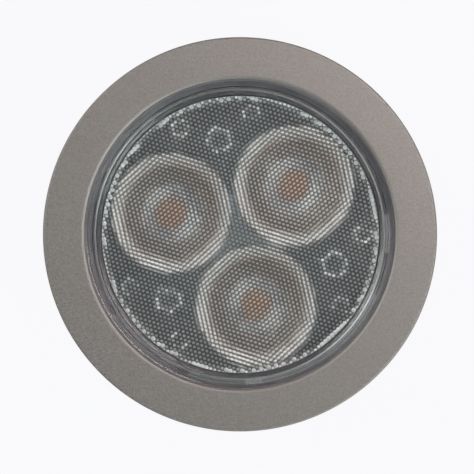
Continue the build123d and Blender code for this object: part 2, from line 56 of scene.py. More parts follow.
# ---------------------------------------------------------------- sizes, as the model has them (millimetres)
R_FLANGE, T_FLANGE, R_OPEN = 30.0, 3.0, 23.8
R_SKIRT, R_THREAD, Z_SKIRT, Z_LIP = 26.2, 25.2, -7.5, 1.0
R_GLASS, R_GLASS_TOP, R_GLASS_STEP = 23.4, 22.05, 24.8
Z_GLASS_TOP, Z_BEVEL, Z_STEP, Z_GLASS_BOT = 2.8, 1.95, 0.75, -1.2
R_OPTIC, Z_OPTIC_TOP, Z_PLATE, Z_LED, Z_BOARD = 21.08, -2.4, -4.3, -13.65, -14.4
R_CELLS, AZ_CELLS, K_WALL, R_MOUTH = 11.08, (42.5, 162.5, 282.5), 1.024, 9.15
R_POST, AZ_POST, R_SMALL, A_SMALL = 15.0, (102.5, 222.5, 342.5), 18.7, 17.4
N_INDEX, R_CAVITY, R_FOOT, H_LENS = 1.49, 2.6, 3.0, 3.6
PITCH, AZ_ROWS = 0.669, 42.5
X_OPTIC, Y_OPTIC = -0.050, -0.050        # the moulding sits a little off centre in its seat
X_ROWS, Y_ROWS = -0.159, 0.092   # where the pattern starts
FROST = 3.2                      # depth of the matt band round each cell's mouth


# ================================================================ camera
PX = R_FLANGE / 197.3            # millimetres in one pixel, at the face
cam_data = bpy.data.cameras.new("camera")
cam = bpy.data.objects.new("camera", cam_data)
bpy.context.scene.collection.objects.link(cam)
bpy.context.scene.camera = cam
DIST = 600.0
cam_data.sensor_width = 36.0
cam_data.lens = 36.0 * DIST / (474 * PX)
cam_data.clip_start = 0.02
cam_data.clip_end = 20.0
VIEW_AZ, VIEW_TILT = math.radians(8.0), math.radians(2.0)     # the photograph is taken a little off the axis
view = Vector((math.sin(VIEW_TILT) * math.cos(VIEW_AZ), math.sin(VIEW_TILT) * math.sin(VIEW_AZ), math.cos(VIEW_TILT)))
cam.location = Vector((-2.60 * PX, -2.66 * PX, T_FLANGE)) * MM + view * DIST * MM
right = Vector((0, 1, 0)).cross(view).normalized()
cam.rotation_euler = Matrix((right, view.cross(right), view)).transposed().to_euler()


# ================================================================ mesh helpers
def new_object(name, verts, faces, sharp_deg=30.0):
    me = bpy.data.meshes.new(name)
    me.from_pydata([(v[0] * MM, v[1] * MM, v[2] * MM) for v in verts], [], [tuple(int(i) for i in f) for f in faces])
    me.validate()
    ob = bpy.data.objects.new(name, me)
    bpy.context.scene.collection.objects.link(ob)
    bm = bmesh.new()
    bm.from_mesh(me)
    bmesh.ops.remove_doubles(bm, verts=bm.verts, dist=1e-7)
    bmesh.ops.dissolve_degenerate(bm, edges=bm.edges, dist=1e-8)
    bmesh.ops.recalc_face_normals(bm, faces=bm.faces)
    lim = math.radians(sharp_deg)
    for f in bm.faces:
        f.smooth = True
    for e in bm.edges:
        if len(e.link_faces) == 2 and e.calc_face_angle(0.0) > lim:
            e.smooth = False
    bm.to_mesh(me)
    bm.free()
    return ob


def lathe_data(points, segs=192, phase=0.0):
    """A closed section (r, z), turned about Z. A point on the axis becomes a pole."""
    verts, rings = [], []
    for r, z in points:
        if r < 1e-6:
            rings.append([len(verts)])
            verts.append((0.0, 0.0, z))
        else:
            rings.append(list(range(len(verts), len(verts) + segs)))
            for k in range(segs):
                a = 2 * math.pi * k / segs + phase
                verts.append((r * math.cos(a), r * math.sin(a), z))
    faces = []
    n = len(rings)
    for i in range(n):
        a, b = rings[i], rings[(i + 1) % n]
        if len(a) == 1 and len(b) == 1:
            continue
        for k in range(segs):
            k2 = (k + 1) % segs
            if len(a) == 1:
                faces.append((a[0], b[k], b[k2]))
            elif len(b) == 1:
                faces.append((a[k], b[0], a[k2]))
            else:
                faces.append((a[k], b[k], b[k2], a[k2]))
    return verts, faces


def lathe(name, points, segs=192, sharp_deg=30.0):
    v, f = lathe_data(points, segs)
    return new_object(name, v, f, sharp_deg)


def arc(cx, cz, r, a0, a1, n):
    return [(cx + r * math.cos(math.radians(a0 + (a1 - a0) * k / n)),
             cz + r * math.sin(math.radians(a0 + (a1 - a0) * k / n))) for k in range(n + 1)]


def polar(r, az):
    return r * math.cos(math.radians(az)), r * math.sin(math.radians(az))


# ================================================================ material helpers
class Mat:
    """A small builder for node materials."""

    def __init__(self, name):
        self.m = bpy.data.materials.new(name)
        self.m.use_nodes = True
        self.t = self.m.node_tree
        self.t.nodes.clear()
        self.out = self.t.nodes.new("ShaderNodeOutputMaterial")

    def node(self, kind, **props):
        n = self.t.nodes.new(kind)
        for k, v in props.items():
            setattr(n, k, v)
        return n

    def link(self, a, b):
        self.t.links.new(a, b)

    def principled(self, **vals):
        n = self.node("ShaderNodeBsdfPrincipled")
        for k, v in vals.items():
            n.inputs[k.replace("_", " ")].default_value = v
        self.p = n
        self.link(n.outputs["BSDF"], self.out.inputs["Surface"])
        return n

    def coords(self, scale=1.0):
        """Object coordinates in millimetres, times scale."""
        tc = self.node("ShaderNodeTexCoord")
        mp = self.node("ShaderNodeMapping")
        mp.inputs["Scale"].default_value = (1000 * scale,) * 3 if not hasattr(scale, "__len__") else tuple(1000 * s for s in scale)
        self.link(tc.outputs["Object"], mp.inputs["Vector"])
        return mp.outputs["Vector"]

    def noise(self, scale, detail=4.0, rough=0.5, vec=None, distortion=0.0):
        n = self.node("ShaderNodeTexNoise")
        n.inputs["Scale"].default_value = scale
        n.inputs["Detail"].default_value = detail
        n.inputs["Roughness"].default_value = rough
        n.inputs["Distortion"].default_value = distortion
        self.link(vec if vec is not None else self.coords(), n.inputs["Vector"])
        return n.outputs["Fac"]

    def voronoi(self, scale, vec=None, feature="F1", rand=1.0):
        n = self.node("ShaderNodeTexVoronoi", feature=feature)
        n.inputs["Scale"].default_value = scale
        n.inputs["Randomness"].default_value = rand
        self.link(vec if vec is not None else self.coords(), n.inputs["Vector"])
        return n.outputs["Distance"]

    def ramp(self, fac, stops, interp="LINEAR"):
        n = self.node("ShaderNodeValToRGB")
        n.color_ramp.interpolation = interp
        el = n.color_ramp.elements
        while len(el) > 1:
            el.remove(el[-1])
        el[0].position = stops[0][0]
        el[0].color = rgba(stops[0][1])
        for pos, c in stops[1:]:
            e = el.new(pos)
            e.color = rgba(c)
        self.link(fac, n.inputs["Fac"])
        return n.outputs["Color"]

    def map(self, fac, a, b, c, d):
        n = self.node("ShaderNodeMapRange")
        for k, v in zip(("From Min", "From Max", "To Min", "To Max"), (a, b, c, d)):
            n.inputs[k].default_value = v
        self.link(fac, n.inputs["Value"])
        return n.outputs["Result"]

    def math(self, op, a, b=None):
        n = self.node("ShaderNodeMath", operation=op)
        for i, v in enumerate((a, b)):
            if v is None:
                continue
            if isinstance(v, (int, float)):
                n.inputs[i].default_value = v
            else:
                self.link(v, n.inputs[i])
        return n.outputs["Value"]

    def mix(self, fac, a, b, blend="MIX"):
        n = self.node("ShaderNodeMix", data_type="RGBA", blend_type=blend)
        for i, v in ((0, fac), (6, a), (7, b)):
            if isinstance(v, (int, float)):
                n.inputs[i].default_value = v
            elif isinstance(v, tuple):
                n.inputs[i].default_value = rgba(v)
            else:
                self.link(v, n.inputs[i])
        return n.outputs[2]

    def bump(self, height, strength=0.3, dist_mm=0.05, normal=None):
        n = self.node("ShaderNodeBump")
        n.inputs["Strength"].default_value = strength
        n.inputs["Distance"].default_value = dist_mm * MM
        self.link(height, n.inputs["Height"])
        if normal is not None:
            self.link(normal, n.inputs["Normal"])
        return n.outputs["Normal"]

    def to(self, name, out):
        self.link(out, self.p.inputs[name])

    def clear_to_shadow(self, tint=(1, 1, 1)):
        """Lets light through as it does in real glass, for shadow rays."""
        tr = self.node("ShaderNodeBsdfTransparent")
        tr.inputs["Color"].default_value = rgba(tint)
        lp = self.node("ShaderNodeLightPath")
        mx = self.node("ShaderNodeMixShader")
        self.link(lp.outputs["Is Shadow Ray"], mx.inputs[0])
        self.link(self.p.outputs["BSDF"], mx.inputs[1])
        self.link(tr.outputs["BSDF"], mx.inputs[2])
        self.link(mx.outputs[0], self.out.inputs["Surface"])


def rgba(c):
    if isinstance(c, (int, float)):
        return (c, c, c, 1.0)
    return tuple(c) if len(c) == 4 else tuple(c) + (1.0,)


# ================================================================ materials
def mat_blasted_steel():
    m = Mat("blasted_stainless")
    m.principled(Metallic=1.0)
    grain = m.noise(3.4, 5.0, 0.72)
    pits = m.voronoi(4.2)
    cloud = m.noise(0.16, 3.0, 0.55)
    tone = m.ramp(grain, [(0.30, (0.227, 0.219, 0.206)), (0.5, (0.289, 0.278, 0.263)), (0.72, (0.363, 0.350, 0.332))])
    tone = m.mix(m.map(cloud, 0.35, 0.65, 0.0, 1.0), tone, m.mix(0.14, tone, (0.280, 0.242, 0.224)))
    m.to("Base Color", tone)
    m.to("Roughness", m.map(grain, 0.3, 0.7, 0.44, 0.58))
    h = m.math("ADD", m.math("MULTIPLY", grain, 0.8), m.math("MULTIPLY", pits, 0.5))
    m.to("Normal", m.bump(h, 0.5, 0.018))
    return m.m


def mat_turned_metal(name, lo, hi, rough=0.32, metal=1.0, coat=0.0):
    """Fine turned or rolled metal with a little soiling."""
    m = Mat(name)
    m.principled(Metallic=metal, Coat_Weight=coat)
    lines = m.noise(1.0, 3.0, 0.5, m.coords((0.25, 0.25, 4.0)))
    spots = m.noise(0.5, 4.0, 0.6)
    m.to("Base Color", m.mix(m.map(spots, 0.35, 0.7, 0.0, 1.0), lo, hi))
    m.to("Roughness", m.map(lines, 0.3, 0.7, rough - 0.05, rough + 0.07))
    m.to("Normal", m.bump(lines, 0.25, 0.012))
    return m.m


def mat_rolled_strip(name, lo, hi, rough=0.3):
    """Rolled spring strip: long fine lines, a little haze."""
    m = Mat(name)
    m.principled(Metallic=1.0)
    lines = m.noise(1.0, 3.0, 0.5, m.coords((5.0, 5.0, 0.12)))
    haze = m.noise(0.22, 3.0, 0.5)
    m.to("Base Color", m.mix(m.map(haze, 0.35, 0.65, 0.0, 1.0), lo, hi))
    m.to("Roughness", m.map(lines, 0.3, 0.7, rough - 0.03, rough + 0.05))
    m.to("Normal", m.bump(lines, 0.12, 0.01))
    return m.m


def mat_moulded(name, lo, hi, rough=0.5, grain_scale=6.0, bump_mm=0.02, spec=0.5):
    """Moulded plastic with a fine spark-eroded texture."""
    m = Mat(name)
    m.principled(Specular_IOR_Level=spec)
    g = m.noise(grain_scale, 3.0, 0.6)
    c = m.noise(0.25, 3.0, 0.5)
    m.to("Base Color", m.mix(m.map(c, 0.35, 0.65, 0.0, 1.0), lo, hi))
    m.to("Roughness", m.map(g, 0.3, 0.7, rough - 0.06, rough + 0.08))
    m.to("Normal", m.bump(g, 0.4, bump_mm))
    return m.m


def mat_rubber(name, lo, hi, rough=0.45, **more):
    m = Mat(name)
    m.principled(**{"Specular_IOR_Level": 0.45, **more})
    g = m.noise(5.0, 3.0, 0.5)
    c = m.noise(0.5, 2.0, 0.5)
    m.to("Base Color", m.mix(m.map(c, 0.35, 0.65, 0.0, 1.0), lo, hi))
    m.to("Roughness", m.map(g, 0.3, 0.7, rough - 0.04, rough + 0.06))
    m.to("Normal", m.bump(g, 0.25, 0.01))
    return m.m


def mat_clear(name, ior, tint=(1, 1, 1), rough=0.0, ripple=0.0, shadow=None, **more):
    m = Mat(name)
    m.principled(**{"Base_Color": rgba(tint), "Transmission_Weight": 1.0, "IOR": ior, "Roughness": rough, **more})
    if ripple:
        n = m.noise(0.35, 2.0, 0.5)
        m.to("Normal", m.bump(n, 0.15, ripple))
    m.clear_to_shadow(shadow or tint)
    return m.m


def mat_board(name, mask, trace, scale=0.55):
    """Solder mask over copper: the traces show as slightly raised and lighter."""
    m = Mat(name)
    m.principled(Specular_IOR_Level=0.55, Roughness=0.34)
    v = m.voronoi(scale, feature="DISTANCE_TO_EDGE", rand=0.7)
    line = m.map(v, 0.10, 0.13, 1.0, 0.0)
    g = m.noise(7.0, 2.0, 0.5)
    m.to("Base Color", m.mix(line, m.mix(g, mask, tuple(x * 1.25 for x in mask)), trace))
    m.to("Normal", m.bump(line, 0.5, 0.03, m.bump(g, 0.1, 0.01)))
    return m.m


M_STEEL = mat_blasted_steel()
M_GLASS = mat_clear("toughened_glass", 1.52, (0.985, 0.995, 0.99))
M_ACRYLIC = mat_clear("optic_acrylic", 1.49, (0.99, 0.993, 0.998))
M_FRONT = mat_clear("optic_microlens_crown", 1.49, (0.99, 0.993, 0.998), rough=0.32,
                    Specular_IOR_Level=1.0, Coat_Weight=1.0, Coat_Roughness=0.30, Coat_IOR=1.7)
# the valley materials darken what shows through the band between each lenslet's crown and its edge: painted shade in
# the valleys, warm-tinted inside the cells and lighter near the middle
M_VALLEY_PAINTED_SHADE = mat_clear("optic_microlens_valley_painted_shade", 1.49, (0.10, 0.105, 0.115), rough=0.32, shadow=(0.98, 0.98, 0.98))
M_CELL_VALLEY_PAINTED_SHADE = mat_clear("optic_cell_valley_painted_shade", 1.49, (0.112, 0.094, 0.084), rough=0.32, shadow=(0.98, 0.98, 0.98))
M_MID_VALLEY_PAINTED_SHADE = mat_clear("optic_middle_valley_painted_shade", 1.49, (0.20, 0.235, 0.25), rough=0.40, shadow=(0.98, 0.98, 0.98),
                         Transmission_Weight=0.82)
# two copies of one matt ring material, picked by direction round each cell: the whiter, more diffuse one is painted
# light, the clearer one painted shade
M_MIX_PAINTED_LIGHT = mat_clear("optic_mixing_ring_painted_light", 1.49, (0.93, 0.97, 1.0), rough=0.32, Transmission_Weight=0.89,
                  Specular_IOR_Level=1.0, Coat_Weight=1.0, Coat_Roughness=0.30, Coat_IOR=1.7)
M_MIX_PAINTED_SHADE = mat_clear("optic_mixing_ring_painted_shade", 1.49, (0.84, 0.90, 0.97), rough=0.32, Transmission_Weight=0.97,
                      Specular_IOR_Level=1.0, Coat_Weight=1.0, Coat_Roughness=0.30, Coat_IOR=1.7)
M_RIM = mat_clear("optic_matt_edge", 1.49, (0.79, 0.78, 0.78), rough=0.6, Transmission_Weight=0.12)
M_FACET = mat_clear("optic_foot_facet", 1.49, (0.54, 0.545, 0.55), rough=0.52, Transmission_Weight=0.0, Metallic=0.85)
M_DOME = mat_clear("dome_silicone", 1.42, (1.0, 0.985, 0.95))
M_SEAL = mat_rubber("seal_silicone", (0.046, 0.043, 0.049), (0.064, 0.060, 0.067), 0.42)
M_BEAD = mat_rubber("seal_lip_silicone", (0.050, 0.049, 0.053), (0.068, 0.066, 0.071), 0.21, Specular_IOR_Level=0.45)
M_GROUND = mat_clear("ground_arris", 1.52, (0.80, 0.81, 0.82), rough=0.30, Transmission_Weight=0.92,
                     Specular_IOR_Level=1.0, Coat_Weight=1.0, Coat_Roughness=0.28, Coat_IOR=1.7)
M_GASKET = mat_rubber("gasket_silicone", (0.175, 0.168, 0.178), (0.215, 0.208, 0.218), 0.42)
M_ORING = mat_rubber("o_ring_rubber", (0.018, 0.018, 0.019), (0.026, 0.026, 0.027), 0.42)
M_HOLDER = mat_moulded("holder_polycarbonate", (0.016, 0.017, 0.019), (0.022, 0.023, 0.026), 0.42, 8.0, 0.012)
M_BOARD = mat_board("metal_core_board", (0.018, 0.022, 0.028), (0.040, 0.046, 0.055))
M_DRIVER_BOARD = mat_board("driver_laminate", (0.012, 0.085, 0.035), (0.03, 0.16, 0.07))
M_BODY = mat_turned_metal("anodised_body", (0.050, 0.050, 0.053), (0.068, 0.068, 0.071), 0.40)
M_SCREW = mat_turned_metal("screw_stainless", (0.52, 0.51, 0.49), (0.62, 0.61, 0.59), 0.26)
M_SPRING = mat_rolled_strip("spring_strip", (0.50, 0.49, 0.47), (0.56, 0.55, 0.53), 0.30)
M_NICKEL = mat_turned_metal("nickel_plate", (0.54, 0.51, 0.46), (0.64, 0.61, 0.56), 0.22)
M_SLEEVE = mat_moulded("sleeve_polypropylene", (0.022, 0.023, 0.025), (0.030, 0.031, 0.033), 0.50, 4.5, 0.03)
M_PAD = mat_rubber("thermal_silicone", (0.33, 0.35, 0.40), (0.38, 0.40, 0.45), 0.6)
M_CERAMIC = mat_moulded("led_ceramic", (0.186, 0.122, 0.086), (0.232, 0.156, 0.112), 0.45, 9.0, 0.006)
M_FERRITE = mat_moulded("ferrite", (0.030, 0.030, 0.033), (0.045, 0.045, 0.048), 0.55, 9.0, 0.01)
M_EPOXY = mat_moulded("chip_epoxy", (0.014, 0.014, 0.015), (0.020, 0.020, 0.021), 0.5, 9.0, 0.01)
M_TERMINAL = mat_moulded("terminal_polyamide", (0.02, 0.11, 0.05), (0.03, 0.14, 0.065), 0.45, 6.0, 0.01)
M_BROWN = mat_rubber("lead_insulation_brown", (0.040, 0.022, 0.015), (0.055, 0.030, 0.020), 0.38)
M_BLACK = mat_rubber("lead_insulation_black", (0.012, 0.012, 0.012), (0.018, 0.018, 0.018), 0.35)
M_COPPER = mat_turned_metal("enamelled_copper", (0.50, 0.17, 0.06), (0.62, 0.24, 0.09), 0.25)
M_CAN = mat_turned_metal("capacitor_sleeve", (0.03, 0.04, 0.09), (0.04, 0.05, 0.11), 0.3, 0.2)
M_SOLDER = mat_turned_metal("solder", (0.58, 0.59, 0.60), (0.68, 0.69, 0.70), 0.2)


def mat_phosphor():
    m = Mat("phosphor")
    m.principled(Roughness=0.6)
    g = m.noise(8.0, 3.0, 0.6)
    # a dark brown in place of the phosphor's own yellow: painted shade, for light that the deep cavity under the optic
    # keeps from it
    m.to("Base Color", m.mix(g, (0.265, 0.122, 0.060), (0.325, 0.160, 0.083)))
    m.to("Normal", m.bump(g, 0.2, 0.01))
    return m.m


M_PHOSPHOR_PAINTED_SHADE = mat_phosphor()

CAD_MATERIALS = {
    "lens_holder": M_HOLDER, "led_board": M_BOARD, "led_packages": M_CERAMIC, "led_phosphors": M_PHOSPHOR_PAINTED_SHADE,
    "board_screws": M_SCREW, "thermal_pad": M_PAD, "lamp_body": M_BODY, "neck_o_ring": M_ORING,
    "edge_gasket": M_GASKET, "glass_seal": M_SEAL,
    "driver_board": M_DRIVER_BOARD, "driver_standoffs": M_NICKEL, "driver_screws": M_SCREW,
    "inductor_core": M_FERRITE, "inductor_winding": M_COPPER, "smoothing_capacitor": M_CAN,
    "rectifier": M_EPOXY, "driver_chip": M_EPOXY, "chip_resistors": M_EPOXY, "supply_terminal": M_TERMINAL,
    "terminal_screws": M_SCREW, "lead_positive": M_BROWN, "lead_negative": M_BLACK, "solder_joints": M_SOLDER,
    "rear_cap": M_BODY, "rear_cap_o_ring": M_ORING, "rear_cap_screws": M_SCREW, "gland_body": M_NICKEL,
    "gland_o_ring": M_ORING, "gland_insert": M_ORING, "gland_nut": M_NICKEL, "retaining_spring_1": M_SPRING,
    "retaining_spring_2": M_SPRING, "retaining_spring_3": M_SPRING, "spring_feet": M_SPRING, "spring_screws": M_SCREW,
    "mounting_sleeve": M_SLEEVE,
}
for node, mat in CAD_MATERIALS.items():
    me = NODES[node].data
    me.materials.clear()
    me.materials.append(mat)


def set_mat(ob, mat):
    ob.data.materials.clear()
    ob.data.materials.append(mat)
    return ob


# ================================================================ trim ring
C, R_LIP = 1.2, 23.68            # the opening's turned edge rolls over, and overhangs the gasket a little
ring_section = (
    [(R_OPEN, Z_LIP), (R_OPEN, 1.94), (R_LIP, 2.08), (R_LIP, T_FLANGE - 0.25)]
    + arc(R_LIP + 0.06, T_FLANGE - 0.215, 0.06, 180, 122, 3)
    + arc(R_LIP + 0.57, T_FLANGE - C, C, 117, 90, 9)
    + [(27.0, T_FLANGE), (R_FLANGE - 0.45, T_FLANGE)]
    + arc(R_FLANGE - 0.28, T_FLANGE - 0.28, 0.28, 90, 0, 8)
    + [(R_FLANGE, 0.3)] + arc(R_FLANGE - 0.25, 0.25, 0.25, 0, -90, 5)
    + [(R_SKIRT + 0.2, 0.0), (R_SKIRT, 0.0), (R_SKIRT, -0.3), (R_SKIRT, Z_SKIRT + 0.4), (R_SKIRT - 0.4, Z_SKIRT),
       (R_THREAD + 0.3, Z_SKIRT), (R_THREAD, Z_SKIRT + 0.3)]
)
# thread in the skirt: fine grooves at its pitch
z = Z_SKIRT + 0.9
while z < -0.6:
    ring_section += [(R_THREAD, z), (R_THREAD + 0.32, z + 0.35), (R_THREAD + 0.32, z + 0.5), (R_THREAD, z + 0.85)]
    z += 1.5
ring_section += [(R_THREAD, Z_LIP - 0.1), (R_THREAD, Z_LIP)]
ring = set_mat(lathe("trim_ring_satin", ring_section, 360, 32), M_STEEL)
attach(ring, "bezel")
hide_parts("trim_ring")

# ================================================================ glass
glass_section = [(0.0, Z_GLASS_TOP), (8.0, Z_GLASS_TOP), (16.0, Z_GLASS_TOP)]
A_ARRIS, W_ARRIS, A_BEVEL = 20.5, 0.23, 27.0      # the bevel meets the face in a narrow ground flat
x0 = R_GLASS_TOP - 0.17
glass_section += [(x0, Z_GLASS_TOP)]
glass_section += [(x0 + 0.03 + W_ARRIS * k / 3, Z_GLASS_TOP - 0.005 - W_ARRIS * k / 3 * math.tan(math.radians(A_ARRIS)))
                  for k in range(4)]
rb, zb = glass_section[-1]
N_BEV = 14
for k in range(1, N_BEV + 1):
    t = k / N_BEV
    r = rb + (R_GLASS - rb) * t
    lin = math.tan(math.radians(A_BEVEL)) * (R_GLASS - rb)
    zz = zb - lin * t - (zb - lin - Z_BEVEL) * t ** 8
    glass_section.append((r, zz))
glass_section += [(R_GLASS, Z_BEVEL - 0.25), (R_GLASS, Z_STEP), (R_GLASS_STEP - 0.2, Z_STEP), (R_GLASS_STEP, Z_STEP - 0.2),
                  (R_GLASS_STEP, Z_GLASS_BOT + 0.2), (R_GLASS_STEP - 0.2, Z_GLASS_BOT), (16.0, Z_GLASS_BOT),
                  (8.0, Z_GLASS_BOT), (0.0, Z_GLASS_BOT)]
glass = set_mat(lathe("glass_bevelled", glass_section, 360, 22), M_GLASS)
glass.data.materials.append(M_GROUND)
for f in glass.data.polygons:
    if x0 < math.hypot(f.center.x, f.center.y) / MM < rb and f.center.z > (Z_GLASS_TOP - 0.2) * MM:
        f.material_index = 1
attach(glass, "window")
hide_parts("glass_window")


# the flat seal under the glass, with a small sloping lip round its inner edge
Z_RIM = -2.2
seal_section = [(21.25, Z_RIM), (21.25, -1.64), (21.28, -1.61), (21.34, -1.585), (21.80, -1.43), (21.86, -1.42), (21.89, -1.45), (21.92, -1.58), (21.95, -1.60),
                (21.98, -1.40), (22.02, Z_GLASS_BOT - 0.05), (22.1, Z_GLASS_BOT - 0.01),
                 (R_GLASS_STEP - 0.25, Z_GLASS_BOT - 0.01), (R_GLASS_STEP, Z_GLASS_BOT - 0.25), (R_GLASS_STEP, Z_RIM)]
seal = set_mat(lathe("glass_seal_beaded", seal_section, 240, 40), M_SEAL)
seal.data.materials.append(M_BEAD)
for f in seal.data.polygons:
    if math.hypot(f.center.x, f.center.y) < 21.9 * MM:
        f.material_index = 1
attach(seal, "lamp")
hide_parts("glass_seal")


# ================================================================ optic
def collimator_wall(steps=320):
    h_cav = lens_height(R_CAVITY)
    pts, a_prev = [(R_FOOT, 0.0)], 0.0
    a_end = math.atan(h_cav / R_CAVITY)
    for k in range(1, steps + 1):
        a = a_end * k / steps
        b, bp = math.asin(math.sin(a) / N_INDEX), math.asin(math.sin(a_prev) / N_INDEX)
        t = (bp + math.pi / 2) / 2
        px, pz = pts[-1]
        x0, z0 = R_CAVITY, R_CAVITY * math.tan(a)
        det = -math.cos(t) * math.sin(b) + math.cos(b) * math.sin(t)
        s = (-(x0 - px) * math.sin(b) + (z0 - pz) * math.cos(b)) / det
        pts.append((px + s * math.cos(t), pz + s * math.sin(t)))
        a_prev = a
        if pts[-1][0] > 9.0:
            break
    return pts


def lens_height(r):
    lo, hi = H_LENS, H_LENS + 20
    for _ in range(60):
        mid = (lo + hi) / 2
        if math.hypot(r, mid) > N_INDEX * mid - (N_INDEX - 1) * H_LENS:
            lo = mid
        else:
            hi = mid
    return (lo + hi) / 2


def build_optic():
    R_FOOT_IN, R_FOOT_OUT = 20.55, 20.84      # a sloping matt facet at the foot of the rim
    R_ARR = 21.04                 # the lenslets run out to the edge
    R_CURV = 0.55                 # radius of each lenslet
    rc = PITCH / math.sqrt(3)
    base = math.sqrt(R_CURV ** 2 - rc ** 2)
    sag = R_CURV - base
    z_valley = Z_OPTIC_TOP - sag
    verts, index, faces, borders = [], {}, [], set()

    def vid(x, y, z):
        key = (round(x * 2000), round(y * 2000), round(z * 2000))
        if key not in index:
            index[key] = len(verts)
            verts.append((x, y, z))
        return index[key]

    def height(dx, dy):
        return z_valley + math.sqrt(max(R_CURV ** 2 - dx * dx - dy * dy, 0)) - base

    local = [(0.0, 0.0)]
    for k in range(6):
        a = math.radians(AZ_ROWS - 30 + 60 * k)
        local.append((0.59 * rc * math.cos(a), 0.59 * rc * math.sin(a)))
    for k in range(6):
        a = math.radians(AZ_ROWS - 30 + 60 * k)
        local.append((rc * math.cos(a), rc * math.sin(a)))
        a = math.radians(AZ_ROWS + 60 * k)
        local.append((PITCH / 2 * math.cos(a), PITCH / 2 * math.sin(a)))
    cell_xy = [polar(R_CELLS, az) for az in AZ_CELLS]
    tris = []                     # the last number tells the crown (1) from the valley (3); the valley faces get a darkened material as painted shade
    for k in range(6):
        k2 = (k + 1) % 6
        A, A2 = 1 + k, 1 + k2
        Ck, Mk, C2 = 7 + 2 * k, 8 + 2 * k, 7 + 2 * k2
        tris += [(0, A, A2, 1), (A, Ck, Mk, 3), (A, Mk, A2, 3), (A2, Mk, C2, 3)]
    kinds = []
    a1 = (PITCH * math.cos(math.radians(AZ_ROWS)), PITCH * math.sin(math.radians(AZ_ROWS)))
    a2 = (PITCH * math.cos(math.radians(AZ_ROWS + 60)), PITCH * math.sin(math.radians(AZ_ROWS + 60)))
    n = int(R_ARR / PITCH * 1.3) + 2
    for i in range(-n, n + 1):
        for j in range(-n, n + 1):
            cx, cy = i * a1[0] + j * a2[0] + X_ROWS, i * a1[1] + j * a2[1] + Y_ROWS
            rr = math.hypot(cx, cy)
            if rr > R_ARR + rc:
                continue
            shape = list(local)
            qx, qy = min(((cx - x, cy - y) for x, y in cell_xy), key=lambda v: math.hypot(*v))
            q_cell = math.hypot(qx, qy)
            if q_cell < R_MOUTH + 0.5:
                # the crowns are drawn out round each cell, and turned toward the nearest row
                tang = math.degrees(math.atan2(qx, -qy)) if q_cell > R_CAVITY else AZ_ROWS
                off = (tang - AZ_ROWS + 30) % 60 - 30
                row = 1 - abs(off) / 30
                along, across = (1.24 + 0.40 * row, 0.80 - 0.04 * row) if q_cell > R_MOUTH - 2.3 else (1.05 + 0.10 * row, 0.82)
                tang = math.radians(tang - 0.6 * off)
                # the crowns are fuller low and to the right in each cell than at its top
                way = math.atan2(qy, qx)
                full = 1 - 0.122 * math.sin(way) + 0.094 * math.cos(2 * way - math.radians(656))
                if q_cell < 4.30:
                    full = 1 + (0.15 * math.cos(2 * way - math.radians(272)) if q_cell > 2.30 else 0)
                along, across = along * full, across * full
                tx, ty = math.cos(tang), math.sin(tang)
                for k in range(1, 7):
                    dx, dy = local[k]
                    u, w = (dx * tx + dy * ty) * along, (dy * tx - dx * ty) * across
                    shape[k] = (u * tx - w * ty, u * ty + w * tx)
            elif rr < 2.6:
                for k in range(1, 7):
                    shape[k] = (local[k][0] * 1.09, local[k][1] * 1.09)
            pts = [(cx + dx, cy + dy, height(dx, dy)) for dx, dy in shape]
            edge = 20.58 < rr < 20.86
            # valley faces take a darkened material as painted shade: warm round the cells, lighter near the middle,
            # dark elsewhere
            valley = 5 if q_cell < R_MOUTH + 0.1 else 6 if rr < 6.5 else 3
            crown = 1
            if 2.30 < q_cell < 4.30:      # a matt mixing ring round the middle of each cell; two opposite sectors take a whiter, more matt copy as painted light, the rest a clearer copy as painted shade
                crown = 7 if math.cos(2 * way - math.radians(272)) > -0.1 else 8
                valley = 3
            if rr < R_ARR - rc:
                ids = [vid(*p) for p in pts]
                for t in tris:
                    faces.append(tuple(ids[q] for q in t[:3]))
                    kinds.append(1 if edge else crown if t[3] == 1 else valley)
            else:
                for t in tris:
                    poly = [pts[q] for q in t[:3]]
                    outp = []
                    for q in range(3):
                        p0, p1 = poly[q], poly[(q + 1) % 3]
                        in0, in1 = math.hypot(p0[0], p0[1]) <= R_ARR, math.hypot(p1[0], p1[1]) <= R_ARR
                        if in0:
                            outp.append(p0)
                        if in0 != in1:
                            # always solved from the same end, so that neighbours share the point
                            s, e = (p0, p1) if p0 < p1 else (p1, p0)
                            dx, dy = e[0] - s[0], e[1] - s[1]
                            qa = dx * dx + dy * dy
                            qb = 2 * (s[0] * dx + s[1] * dy)
                            qc = s[0] ** 2 + s[1] ** 2 - R_ARR ** 2
                            disc = math.sqrt(max(qb * qb - 4 * qa * qc, 0))
                            roots = [(-qb - disc) / (2 * qa), (-qb + disc) / (2 * qa)]
                            tt = [r for r in roots if -1e-9 <= r <= 1 + 1e-9]
                            tt = min(max(tt[0], 0), 1) if tt else 0.5
                            outp.append((s[0] + dx * tt, s[1] + dy * tt, s[2] + (e[2] - s[2]) * tt))
                    if len(outp) >= 3:
                        ids = [vid(*p) for p in outp]
                        ids = [v for q, v in enumerate(ids) if v != ids[q - 1]]
                        if len(ids) >= 3:
                            faces.append(tuple(ids))
                            kinds.append(1 if edge else crown if t[3] == 1 else valley)
    n_top_faces = len(faces)
    n_rim_faces = 0
    # boundary of the top, in order round the rim
    count = {}
    for f in faces:
        for q in range(len(f)):
            e = (f[q], f[(q + 1) % len(f)])
            if (e[1], e[0]) in count:
                count.pop((e[1], e[0]))
            else:
                count[e] = True
    nxt = {a: b for a, b in count}
    start = next(iter(nxt))
    loop = [start]
    while nxt[loop[-1]] != start and len(loop) < len(nxt) + 2:
        loop.append(nxt[loop[-1]])
    print("optic: lenslet faces", n_top_faces, "rim vertices", len(loop), "of", len(nxt))
    ang = [math.atan2(verts[v][1], verts[v][0]) for v in loop]
    prev = loop

    def ring_at(r, z):
        ids = []
        for a in ang:
            ids.append(len(verts))
            verts.append((r * math.cos(a), r * math.sin(a), z))
        return ids

